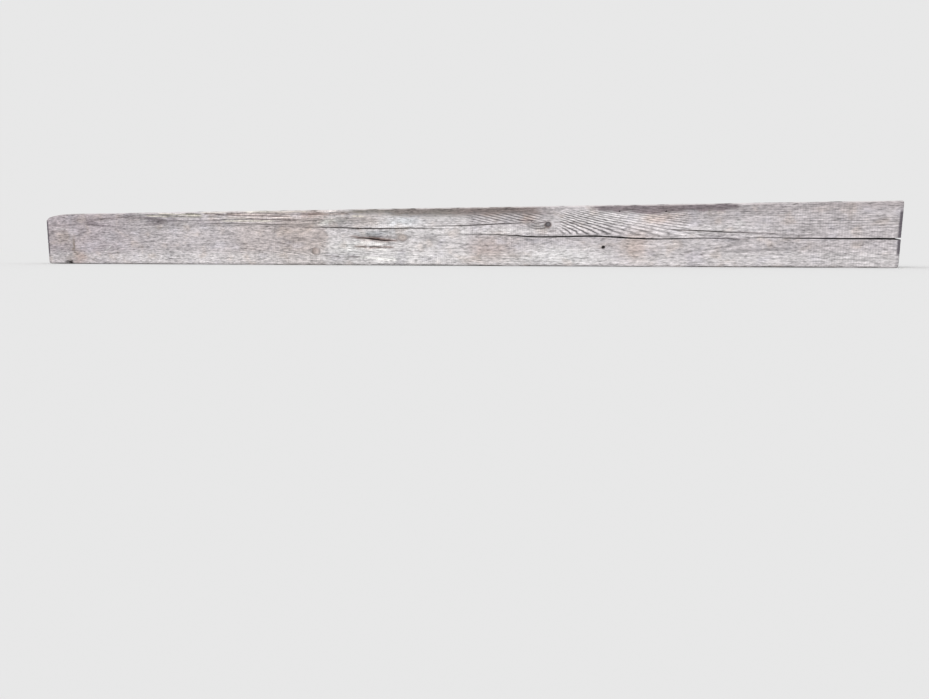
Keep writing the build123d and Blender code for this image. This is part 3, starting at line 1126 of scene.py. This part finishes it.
# Middle along and up, reach along and up, strength, colour.
front, zone_x, zone_z = lay_marks(front, oval, ragged_x, ragged_z, [
    (-0.070, 0.045, 0.190, 0.030, 0.60, near_white),
    (-0.215, 0.052, 0.060, 0.026, 0.75, srgb(232, 231, 230)),
    (-0.060, 0.020, 0.070, 0.012, 0.70, srgb(234, 232, 231)),
    (-0.025, 0.138, 0.055, 0.018, 0.90, srgb(230, 232, 236)),
    (-0.185, 0.150, 0.080, 0.014, 0.60, srgb(168, 158, 152)),
    (-0.285, 0.138, 0.022, 0.007, 0.80, srgb(226, 226, 221)),
    (0.060, 0.105, 0.120, 0.016, 0.50, near_white),
    (0.120, 0.150, 0.080, 0.010, 0.40, near_white),
    (0.300, 0.106, 0.110, 0.014, 0.70, near_white),
    (0.300, 0.016, 0.130, 0.018, 0.60, near_white),
    (0.480, 0.030, 0.100, 0.030, 0.95, srgb(228, 226, 226)),
    (0.580, 0.140, 0.160, 0.030, 0.55, near_white),
    (0.900, 0.105, 0.150, 0.014, 0.50, near_white),
    (0.820, 0.060, 0.130, 0.030, 0.25, near_white),
    (0.967, 0.122, 0.014, 0.010, 0.60, near_white),
    (0.265, 0.052, 0.060, 0.040, 0.55, brown_pink),
    (0.368, 0.143, 0.024, 0.013, 0.70, brown_pink),
    (0.700, 0.060, 0.045, 0.040, 0.60, brown_pink),
    (0.760, 0.140, 0.040, 0.016, 0.60, brown_pink),
    (0.852, 0.034, 0.038, 0.015, 0.55, mauve),
    (-1.245, 0.022, 0.030, 0.022, 0.75, srgb(194, 174, 167)),
    (-1.295, 0.092, 0.050, 0.032, 0.60, srgb(172, 160, 152)),
    (-1.120, 0.088, 0.035, 0.024, 0.45, srgb(188, 185, 190)),
    (-0.140, 0.138, 0.060, 0.016, 0.60, srgb(200, 190, 186)),
    (-0.330, 0.136, 0.022, 0.008, 0.60, srgb(158, 150, 147)),
    (-0.240, 0.137, 0.024, 0.006, 0.65, srgb(150, 149, 146)),
    (-0.110, 0.104, 0.062, 0.009, 0.75, srgb(160, 163, 166)),
    (-0.335, 0.166, 0.030, 0.009, 0.70, srgb(156, 136, 128)),
    # Painted shadow under the upper torn edge.
    (-0.080, 0.079, 0.020, 0.005, 0.75, srgb(134, 114, 108)),
    (-1.264, 0.062, 0.011, 0.024, 0.95, srgb(134, 122, 112)),
    (-1.259, 0.076, 0.007, 0.013, 0.60, srgb(122, 110, 101)),
    # Painted shade in the chip at the lower front edge.
    (-1.289, 0.004, 0.017, 0.009, 1.00, srgb(40, 34, 34))])
warm = texture(place, (17, 0, 22), shift=40)
front = paint(front, step(warm, 0.04, 0.20) * 0.30, srgb(198, 182, 170))
front = paint(front, step(-warm, 0.04, 0.20) * 0.30, srgb(196, 193, 202))
print("nodes so far", len(wood.tree.nodes))

# %% [markdown]
# ## Marks that one can point at
# A bulge in the log has left an oval of dark rings near the left end. Its line is a bell across the
# distance from the oval, and its darker tips are patches.

# %% The oval near the left end
oval_x = (px + 1.040) / 0.150
oval_z = (pz - 0.146 + blot * 0.010) / 0.0170
oval_way = root(oval_x * oval_x + oval_z * oval_z)
oval_line = bell((oval_way - 1) * 6.0) + bell((oval_way - 1.45) * 7.0) * 0.4
front = paint(front, (oval_line * 0.62 * step(pz, 0.128, 0.142)).math("MINIMUM", 0.8), dark_line)
oval_tip = srgb(138, 129, 135)
front, zone_x, zone_z = lay_marks(front, oval, zone_x, zone_z, [
    (-1.180, 0.148, 0.028, 0.009, 0.60, oval_tip),
    (-1.125, 0.136, 0.040, 0.004, 0.60, oval_tip),
    (-0.952, 0.150, 0.010, 0.010, 0.50, oval_tip),
    (-0.912, 0.150, 0.012, 0.009, 0.60, oval_tip),
    (-0.935, 0.143, 0.030, 0.010, 0.40, oval_tip),
    (-0.858, 0.152, 0.020, 0.007, 0.55, oval_tip),
    (-0.735, 0.146, 0.022, 0.012, 0.45, oval_tip),
    (-0.690, 0.142, 0.020, 0.008, 0.30, oval_tip)])
print("nodes so far", len(wood.tree.nodes))

# %% [markdown]
# A pale scratch, the cracks' fine ends and the brown rims of the torn places, in part painted shadow, are
# straight strokes, frayed by the same noise as the patches, only less.

# %% Strokes of the front
frayed_x = zone_x + (px - ragged_x) + bundle * 0.020
frayed_z = zone_z + (pz - ragged_z) + bundle * 0.003
# First place along and up, last place along and up, thickness, strength, colour.
front, frayed_x, frayed_z = lay_marks(front, line, frayed_x, frayed_z, [
    (-1.129, 0.044, -1.103, 0.065, 0.0030, 0.85, near_white),
    (-1.370, 0.138, -1.258, 0.137, 0.0014, 0.70, dark_line),
    (-1.352, 0.118, -1.288, 0.117, 0.0016, 0.60, dark_line),
    (-1.335, 0.125, -1.285, 0.124, 0.0016, 0.60, near_white),
    (-1.128, 0.037, -1.085, 0.036, 0.0012, 0.60, dark_line),
    (-0.818, 0.137, -0.788, 0.136, 0.0016, 0.90, near_white),
    (0.455, 0.131, 0.515, 0.129, 0.0012, 0.80, dark_line),
    (0.346, 0.1385, 0.388, 0.1370, 0.0020, 0.90, dark_line),
    (0.382, 0.1370, 0.396, 0.1290, 0.0024, 0.90, dark_line),
    (0.404, 0.1285, 0.430, 0.1330, 0.0018, 0.80, dark_line),
    (0.440, 0.1050, 0.462, 0.1060, 0.0024, 0.65, dark_line),
    (-0.450, 0.1245, -0.225, 0.1225, 0.0011, 0.85, dark_line),
    (0.790, 0.105, 1.075, 0.094, 0.0016, 0.75, dark_line),
    (0.860, 0.083, 1.010, 0.078, 0.0014, 0.60, dark_line)])
print("nodes so far", len(wood.tree.nodes))

# %% [markdown]
# Where the wood is torn, brown wood shows that no sun has bleached, next to bright flakes that stand
# proud. Under the upper tear the brown is partly painted shadow. These strokes wander more than the
# others, as the tear followed the fibres.

# %% Rims and flakes of the torn places
torn_brown = srgb(120, 98, 91)
flake = srgb(240, 238, 236)
bright_flake = srgb(250, 248, 245)
front, frayed_x, _ = lay_marks(front, line, frayed_x, frayed_z + bundle * 0.011, [
    (-0.197, 0.092, -0.085, 0.084, 0.0042, 0.80, torn_brown),
    # This stroke is partly torn brown wood and partly painted shadow under the upper tear.
    (-0.130, 0.085, -0.035, 0.079, 0.0046, 0.75, torn_brown),
    (-0.160, 0.0935, -0.060, 0.0890, 0.0018, 0.65, dark_line),
    (-0.185, 0.0610, -0.140, 0.0600, 0.0030, 0.75, torn_brown),
    (-0.130, 0.0590, -0.092, 0.0575, 0.0034, 0.80, torn_brown),
    (-0.088, 0.0600, -0.048, 0.0570, 0.0030, 0.70, torn_brown),
    (-0.180, 0.0725, -0.075, 0.0690, 0.0060, 0.75, flake),
    (-0.160, 0.0260, -0.070, 0.0205, 0.0036, 0.90, bright_flake),
    (-0.072, 0.0200, -0.042, 0.0195, 0.0034, 0.90, bright_flake),
    (-0.190, 0.1585, -0.148, 0.1575, 0.0024, 0.80, srgb(226, 220, 206)),
    (-0.120, 0.0500, -0.070, 0.0480, 0.0050, 0.60, flake),
    (-0.208, 0.0270, -0.164, 0.0265, 0.0020, 0.65, dark_line),
    (-0.290, 0.0300, -0.235, 0.0270, 0.0018, 0.55, dark_line),
    (-0.060, 0.0480, 0.060, 0.0455, 0.0014, 0.50, dark_line)])
print("nodes so far", len(wood.tree.nodes))

# %% [markdown]
# Left of the middle the saw ran along the rings near the top edge, so pale and dark lines run side by side
# there for half a metre. At this low angle the ring formula would give only a blur, so they are strokes
# too.

# %% Long lines under the top edge
cream = srgb(232, 226, 212)
pink_cream = srgb(226, 212, 207)
umber = srgb(108, 92, 88)
olive = srgb(128, 124, 112)
front, frayed_x, frayed_z = lay_marks(front, line, frayed_x, frayed_z, [
    (-1.000, 0.1740, -0.955, 0.1735, 0.0018, 0.70, near_white),
    (-0.955, 0.1705, -0.915, 0.1680, 0.0026, 0.60, olive),
    (-0.950, 0.1670, -0.870, 0.1635, 0.0020, 0.70, cream),
    (-0.900, 0.1735, -0.740, 0.1665, 0.0023, 0.85, cream),
    (-0.905, 0.1700, -0.845, 0.1680, 0.0020, 0.70, olive),
    (-0.880, 0.1650, -0.735, 0.1600, 0.0020, 0.75, olive),
    (-0.800, 0.1720, -0.740, 0.1695, 0.0028, 0.90, olive),
    (-0.790, 0.1660, -0.735, 0.1645, 0.0020, 0.80, cream),
    (-0.725, 0.1720, -0.655, 0.1685, 0.0024, 0.85, umber),
    (-0.740, 0.1755, -0.640, 0.1745, 0.0022, 0.50, cream),
    (-0.570, 0.1755, -0.475, 0.1750, 0.0036, 0.95, srgb(246, 241, 231)),
    (-0.490, 0.1745, -0.345, 0.1735, 0.0022, 0.60, cream),
    (-0.640, 0.1700, -0.585, 0.1690, 0.0026, 0.90, umber),
    (-0.590, 0.1715, -0.440, 0.1700, 0.0018, 0.85, umber),
    (-0.620, 0.1670, -0.470, 0.1655, 0.0020, 0.80, pink_cream),
    (-0.665, 0.1670, -0.400, 0.1575, 0.0017, 0.85, umber),
    (-0.640, 0.1600, -0.400, 0.1545, 0.0022, 0.60, pink_cream),
    (-0.640, 0.1550, -0.540, 0.1530, 0.0034, 0.50, olive),
    (-0.565, 0.1525, -0.390, 0.1465, 0.0018, 0.75, umber),
    (-0.650, 0.1465, -0.470, 0.1440, 0.0026, 0.70, cream),
    (-0.312, 0.1740, -0.245, 0.1735, 0.0028, 0.95, srgb(246, 238, 234)),
    (-0.350, 0.1655, -0.200, 0.1640, 0.0032, 0.65, srgb(136, 118, 110)),
    (-0.250, 0.1705, -0.150, 0.1690, 0.0024, 0.60, srgb(136, 124, 114))])
print("nodes so far", len(wood.tree.nodes))

# %% [markdown]
# Two long stains hang from the top edge, where water stood under the next layer. They are darkest at the
# edge and thin out downwards, so their mask is a step over the height, with the noise of the grain added
# to it.

# %% Stains at the top edge
old_stain = srgb(118, 107, 111)
green_stain = srgb(116, 110, 103)
stain_edge = pz + bundle * 0.022 + blot * 0.016 + fleck * 0.016
sag = bell((px - 0.76) / 0.13) * 0.008
lift = step(-px, 0.02, 0.10) * 0.010
right_stain = band(ragged_x, 0.565, 0.955, 0.014) * step(stain_edge + sag, 0.158, 0.166)
left_stain = band(ragged_x, -0.20, 0.43, 0.040) * step(stain_edge - lift, 0.144, 0.165)
left_colour = paint(green_stain, step(ragged_x, 0.08, 0.20), srgb(128, 116, 112))
front = paint(front, right_stain * 0.88, old_stain)
front = paint(front, left_stain * 0.88, left_colour)
# Darker patches towards the top edge of the front.
grime = step(ragged_z, 0.145, 0.176) * step(texture(place, (6, 0, 16), 3.0, shift=9), -0.05, 0.12)
front = paint(front, grime * 0.40, srgb(140, 128, 128))
print("nodes so far", len(wood.tree.nodes))

# %% [markdown]
# ## Colour of the other sides
# The top lay under the rails and the next layer, so it is browner and dirtier. Its plate prints are dark,
# with rust that has run from the plates' edges and the screws. A print's rim is where the larger of two
# distances, one along and one across, passes zero.

# %% Prints and rust
edge_noise = bundle * 0.010 + blot * 0.008
in_print = 0.0
rim = 0.0
screw_stain = 0.0
for seat in seat_places:
    from_seat = (px - seat).math("ABSOLUTE")
    from_middle = py.math("ABSOLUTE")
    edge_way = (from_seat - seat_length / 2).math("MAXIMUM", from_middle - seat_width / 2)
    in_print = in_print + (1 - step(edge_way + edge_noise, -0.002, 0.003))
    rim = rim + bell((edge_way + edge_noise + 0.004) / 0.008)
    dx = from_seat - screw_along
    dy = from_middle - screw_across
    screw_stain = screw_stain + bell(root(dx * dx * 0.35 + dy * dy) / 0.019)
mottle = texture(place, (40, 60, 60), 4.0, 0.65, shift=5)
rust_rim = (rim * 0.8 * step(mottle, -0.08, 0.10)).math("MINIMUM", 1.0)
rust_run = (screw_stain * step(mottle, -0.20, 0.05)).math("MINIMUM", 1.0) * 0.8
print("prints", len(seat_places), "nodes so far", len(wood.tree.nodes))

# %% [markdown]
# The back is like the front without its stains, and the foot has the brown of ballast dust. Clouds of a
# second colour keep each of them from looking painted.

# %% Top, back and foot
cloud = texture(place, (3, 12, 12), 4.0, 0.6)
top = paint(srgb(168, 159, 154), step(cloud, -0.10, 0.16) * 0.6, srgb(128, 119, 112))
top = paint(top, in_print * 0.72, srgb(98, 86, 79))
top = paint(top, rust_rim, srgb(128, 84, 60))
top = paint(top, rust_run, srgb(94, 62, 47))
back = paint(srgb(184, 176, 174), step(cloud, -0.08, 0.12) * 0.55, srgb(158, 147, 142))
foot = paint(srgb(140, 130, 122), step(cloud, -0.12, 0.12) * 0.6, srgb(114, 104, 97))
sides = paint(front, on_top, top)
sides = paint(sides, on_back, back)
sides = paint(sides, on_foot, foot)
print("nodes so far", len(wood.tree.nodes))

# %% [markdown]
# ## Light and dark of the grain
# So far the colours are flat. The lines of the grain are one number round 1 by which the colour is
# multiplied, because weather darkens and bleaches a colour more than it changes its hue.

# %% Lay the grain over the sides
upper_band = band(px, -1.02, -0.30, 0.10) * step(pz, 0.118, 0.132) * on_front
long_lines = texture(grain, (1.6, 30, 170), 1.0, shift=5)
ring_strength = 0.36 + (1 - on_front) * 0.24
light = 1.0 + fleck * 1.80 + bundle * 1.05 + fibre * 0.55 + blot * 0.70 + hair * 0.25
light = light * (1 + saw_mark * 0.055 * (1 - on_top * in_print))
light = light * (1.06 - late * lined * ring_strength * (1 - fan_here) * (1 - comb_here))
light = light * (1 + upper_band * long_lines * 1.6) * (1 - dash * 0.30 * (1 - cut_end))
light = light * (1 - (fan - 0.30 * fan_here - 0.24 * comb_here) * 0.95)
light = light * (1 - checks * 0.55)
sides = shade(sides, light.math("MAXIMUM", 0.12))
print("nodes so far", len(wood.tree.nodes))

# %% [markdown]
# ## Knots
# A knot is a branch's own rings, seen end on. It is harder than the wood round it and stays darker. The
# distance from its middle, stretched along the grain, gives its outline, its rings and a dark rim.

# %% Knots of the front
# Colour, strength, and how far it is stretched along the grain.
knot_looks = [
    (srgb(117, 114, 118), 0.92, 1.0),
    (srgb(218, 203, 194), 0.50, 1.5),
    (srgb(194, 174, 164), 0.42, 1.1),
]
rim_brown = srgb(104, 84, 78)
for (knot_x, knot_z, radius, _), (body, strength, flat) in zip(knots, knot_looks):
    dx = (px - knot_x) / (flat * radius)
    dz = (pz - knot_z) / radius
    way = root(dx * dx + dz * dz) + fleck * 0.75
    inside = (1 - step(way, 0.85, 1.1)) * on_front * strength
    knot_rings = sine(way * 9.0 + 1.0) * 0.5 + 0.5
    sides = paint(sides, inside, shade(body, 1.1 - knot_rings * 0.40))
    below = step(knot_z - pz, -0.006, 0.004)
    rim_strength = bell((way - 1.10) * 4.5) * on_front * (0.40 + below * 0.45) * strength
    sides = paint(sides, rim_strength, rim_brown)
print("knots", len(knots), "nodes so far", len(wood.tree.nodes))

# %% [markdown]
# Left of the sunken knot the rings of the trunk hang like bowls, one in another. They are bells across the
# distance from one middle, cut off at their brim.

# %% Bowls by the sunken knot
bowl_x = (px - 0.408) / 0.035
bowl_z = (pz - 0.127) / 0.0150
bowl_way = root(bowl_x * bowl_x + bowl_z * bowl_z) + fleck * 0.25
bowls = bell((bowl_way - 1.0) * 6) + bell((bowl_way - 0.55) * 6) + bell((bowl_way - 1.5) * 7) * 0.35
bowls = bowls * (1 - step(px, 0.424, 0.436)) * (1 - step(pz, 0.121, 0.128)) * on_front
sides = shade(sides, 1 - bowls * 0.62)
below_bowls = oval(frayed_x, frayed_z, 0.385, 0.1045, 0.045, 0.005) * on_front
sides = shade(sides, 1 + below_bowls * 0.22)
print("nodes so far", len(wood.tree.nodes))

# %% [markdown]
# ## Cut ends
# End grain drinks water and dirt, so it is the darkest. It shows the rings themselves, as circles round
# the pith, crossed by fine rays. Both come from the place in polar form: distance from the pith, and
# direction. The direction goes in as its sine and cosine, because the angle itself would jump where it
# starts anew.

# %% End grain
end_ring = 0.0034
pith_z = pith_heights[0] + (pith_heights[1] - pith_heights[0]) * (px + half_length) / length
out_y = py - pith_across
out_z = pz - pith_z
pith_way = root(out_y * out_y + out_z * out_z)
turn = out_z.math("ARCTAN2", out_y)
end_blotch = texture(place, (3, 24, 24), 4.0, 0.6)
end_wave = sine((pith_way + end_blotch * 0.006) * (math.tau / end_ring)) * 0.5 + 0.5
polar = wood.add("ShaderNodeCombineXYZ", {}, {0: sine(turn), 1: sine(turn + math.pi / 2), 2: pith_way})[0]
rays = texture(polar, (26, 26, 5), 3.0, 0.7)
ray_line = 1 - step(rays.math("ABSOLUTE"), 0.0, 0.02)
end_colour = paint(srgb(122, 116, 116), step(end_blotch, -0.15, 0.15), srgb(152, 146, 143))
end_colour = shade(end_colour, (1.12 - end_wave * 0.36) * (1 - ray_line * 0.35) * (1 + mottle * 0.8))
colour = paint(sides, cut_end, end_colour)
# Painted shade: a dark strip on the sides next to the rounded edges of both ends.
near_end = step(px.math("ABSOLUTE") + bundle * 0.004, half_length - 0.0115, half_length - 0.0065)
near_end = near_end * (0.30 + 0.60 * band(pz, 0.036, 0.152, 0.005)) * (1 - cut_end)
colour = paint(colour, near_end, srgb(88, 82, 90))
print("nodes so far", len(wood.tree.nodes))

# %% [markdown]
# ## Cracks and worn edges, with painted shade and a painted highlight
# Cracks and holes hold old dirt, and their walls are painted dark with depth as painted shade: a number on
# each point says how deep. Only the dowel hole is half filled with grey wood, so it is painted less dark.
# The worn edge along the top of the front is painted pale, as a painted highlight.

# %% Dark hollows and the pale edge
plug_x = (px - dowel_hole.along) / 0.009
plug_z = (pz - dowel_hole.offset) / 0.009
plug = bell(plug_x) * bell(plug_z) * on_front
# Painted shade and old dirt: cracks and holes go dark with their depth.
colour = paint(colour, in_hollow * (0.90 - plug * 0.50), srgb(52, 43, 42))
# Painted highlight: the worn top front edge is painted pale.
arris = step(pz, height - 0.0060, height - 0.0030) * step(-py, 0.105, 0.118)
arris = arris * (1 - cut_end) * step(bundle, -0.15, 0.05)
colour = paint(colour, arris * 0.75, srgb(230, 224, 224))
print("nodes so far", len(wood.tree.nodes))

# %% [markdown]
# ## The finished wood
# Bare wood is rough, with hardly a gloss, and only the stains shine a little more. Fibres too fine for the
# mesh go into a Bump node, which tilts the surface without moving it. What is the same all over, such as
# the specular level, is set on the shader's own socket.

# %% Put the wood together
bump_height = (late * 0.30 + fibre * 1.3 + bundle * 0.8) * (1 - cut_end) + mottle * 2.0 * cut_end
bump = wood.add("ShaderNodeBump", {}, {"Strength": 0.8, "Distance": 0.0010, "Height": bump_height})[0]
roughness = 0.88 + blot * 0.2 - (right_stain + left_stain) * on_front * 0.10
shader = wood.add("ShaderNodeBsdfPrincipled", {},
                  {"Base Color": colour, "Roughness": roughness, "Normal": bump,
                   "Specular IOR Level": 0.25})[0]
wood.add("ShaderNodeOutputMaterial", {}, {"Surface": shader})
timber_mesh.materials.append(wood_material)
print("wood nodes", len(wood.tree.nodes))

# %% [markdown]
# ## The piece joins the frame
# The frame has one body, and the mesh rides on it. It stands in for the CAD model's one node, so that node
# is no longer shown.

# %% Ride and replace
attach(timber, "root")
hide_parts("sleeper")
print("piece", timber.name, "at", tuple(timber.location))

# %% [markdown]
# ## Camera
# The photograph was taken from low down and close by, right of the timber's middle. The place, the turn
# and the lens follow from how its edges run together in the picture. A small shift brings the whole length
# into view.

# %% The photograph's view
camera_turn, camera_tilt = 14.5, -8.0
camera_data = bpy.data.cameras.new("camera")
camera_data.sensor_width = 36
camera_data.lens = 27.1
camera_data.shift_x = 0.032
camera_data.clip_start = 0.002
camera = bpy.data.objects.new("camera", camera_data)
camera.location = (0.64, -2.27, 0.045)
camera.rotation_euler = (math.radians(90 + camera_tilt), 0, math.radians(camera_turn))
bpy.context.scene.collection.objects.link(camera)
bpy.context.scene.camera = camera
print("camera", [round(part, 3) for part in camera.location], "lens", round(camera_data.lens, 1), "mm")

# %% [markdown]
# ## A plain studio
# A pale floor runs out to the horizon. It could end in a curved backdrop, but that would show in views
# from behind. So the floor is simply very large, and the world's picture behind it has the floor's own lit
# colour.

# %% Floor
floor_grey = 0.80
floor_reach = 400
floor_material = bpy.data.materials.new("pale_floor")
floor_material.use_nodes = True
pale = Graph(floor_material.node_tree)
diffuse = pale.add("ShaderNodeBsdfDiffuse", {}, {"Color": (floor_grey, floor_grey, floor_grey, 1)})[0]
pale.add("ShaderNodeOutputMaterial", {}, {"Surface": diffuse})

floor_mesh = bpy.data.meshes.new("floor")
floor_mesh.from_pydata([(floor_reach * side_x, floor_reach * side_y, 0)
                        for side_x, side_y in ((-1, -1), (1, -1), (1, 1), (-1, 1))], [], [(0, 1, 2, 3)])
floor_mesh.materials.append(floor_material)
floor = bpy.data.objects.new("floor", floor_mesh)
bpy.context.scene.collection.objects.link(floor)
floor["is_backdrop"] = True
print("floor", 2 * floor_reach, "m wide")

# %% [markdown]
# An overcast sky lights the timber evenly from all round, and one soft sun from the upper left gives the
# relief its shadows. Sun and world light the whole floor alike. Its colour is then the grey times all the
# light that falls on it, and a sun's part of that is its strength times the sine of its height over pi.

# %% Sun
sky_light = 0.86
sun_light = 0.75
sun_height = math.radians(38)
sun_data = bpy.data.lights.new("sun", "SUN")
sun_data.energy = sun_light
sun_data.angle = math.radians(40)
sun = bpy.data.objects.new("sun", sun_data)
sun.rotation_euler = (math.pi / 2 - sun_height, 0, math.radians(-24))
bpy.context.scene.collection.objects.link(sun)
horizon = floor_grey * (sky_light + sun_light * math.sin(sun_height) / math.pi)
print("horizon", round(horizon, 3))

# %% [markdown]
# Camera, glossy and transmission rays see that colour in place of the light, so no seam shows where floor
# and sky meet, and the picture's ground stays pale without more light on the timber.

# %% World
world = bpy.data.worlds.new("studio")
world.use_nodes = True
sky = Graph(world.node_tree)
ray_kinds = sky.add("ShaderNodeLightPath", {}, {})
camera_ray, glossy_ray, transmission_ray = ray_kinds[0], ray_kinds[3], ray_kinds[6]
seen = camera_ray.math("MAXIMUM", glossy_ray).math("MAXIMUM", transmission_ray)
lit = sky.add("ShaderNodeBackground", {}, {"Color": (1, 1, 1, 1), "Strength": sky_light})[0]
shown = sky.add("ShaderNodeBackground", {}, {"Color": (1, 1, 1, 1), "Strength": horizon})[0]
either = sky.add("ShaderNodeMixShader", {}, {0: seen, 1: lit, 2: shown})[0]
sky.add("ShaderNodeOutputWorld", {}, {"Surface": either})
bpy.context.scene.world = world
bpy.context.scene.view_settings.view_transform = "Standard"
print("rays", [ray.socket.name for ray in (camera_ray, glossy_ray, transmission_ray)])

# %% [markdown]
# ## Finish
# The CAD model's box was taken at the start, and the visual model's box is printed. The visual model must
# not grow past the CAD model's box.

# %% Print the visual box
visual_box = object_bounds()
print("visual box", [[round(float(part), 4) for part in corner] for corner in visual_box])
